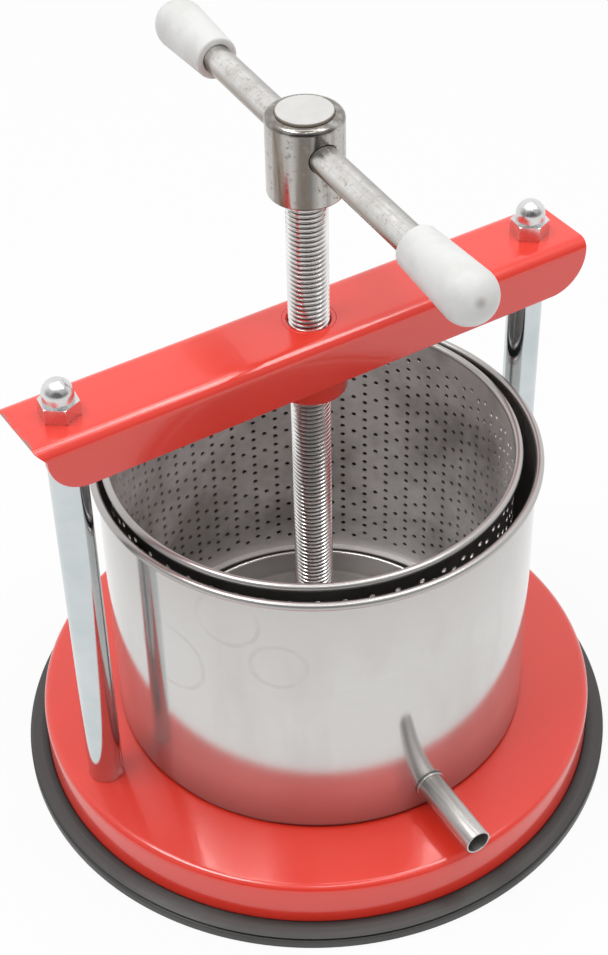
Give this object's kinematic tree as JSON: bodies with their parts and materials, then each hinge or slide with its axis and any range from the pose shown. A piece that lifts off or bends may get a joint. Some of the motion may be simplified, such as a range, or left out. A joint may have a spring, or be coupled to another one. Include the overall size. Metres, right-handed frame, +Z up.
{
  "type": "fruit press",
  "caption": "Hand screw press with a round base, columns and crossbar, a perforated basket in a pot with a spout, and a press plate driven by a screw with a tommy bar.",
  "frame": {"origin": "middle of the underside of the rubber edging, on the floor", "axes": "+Z up along the screw, +X along the crossbar to the right column, the spout points almost along -Y"},
  "size_m": [0.321, 0.321, 0.3845],
  "materials": {
    "red_paint": "gloss",
    "black_rubber": "satin",
    "zinc_steel": "bright zinc",
    "stainless": "brushed",
    "turned_steel": "bright plated",
    "bronze": "turned",
    "grey_plastic": "matte",
    "white_plastic": "matte"
  },
  "bodies": {
    "frame": {"base_dish": "red_paint", "base_edge_rubber": "black_rubber", "column_left": "zinc_steel", "column_right": "zinc_steel", "base_washers": "zinc_steel", "base_nuts": "zinc_steel", "crossbar": "red_paint", "screw_nut": "red_paint", "cap_nuts": "zinc_steel"},
    "pot": {"collector_pot": "stainless", "pot_floor": "stainless", "spout_tube": "stainless", "spout_collar": "stainless"},
    "basket": {"basket": "stainless", "basket_floor": "stainless"},
    "plate": {"press_plate": "stainless", "plate_boss": "turned_steel", "thrust_washer": "bronze", "boss_grub_screws": "zinc_steel"},
    "screw": {"press_screw": "turned_steel", "screw_hub": "turned_steel", "hub_cap": "grey_plastic", "tommy_bar": "turned_steel", "grip_left": "white_plastic", "grip_right": "white_plastic"}
  },
  "joints": [
    {"name": "pot_turn", "type": "hinge", "parent": "frame", "child": "pot", "pos_m": [0.0016, -0.0018, 0.0343], "axis": [0, 0, 1], "range_deg": [-80, 80]},
    {"name": "basket_turn", "type": "hinge", "parent": "pot", "child": "basket", "pos_m": [0, 0, 0.0353], "axis": [0, 0, 1], "continuous": true},
    {"name": "press_travel", "type": "slide", "parent": "frame", "child": "plate", "axis": [0, 0, 1], "range_m": [0, 0.1755]},
    {"name": "screw_turn", "type": "hinge", "parent": "plate", "child": "screw", "pos_m": [0, 0, 0.0544], "axis": [0, 0, 1], "range_deg": [0, 25200]}
  ],
  "couplings": [
    {"joint": "press_travel", "follows": "screw_turn", "m_per_rad": 0.00039789}
  ]
}
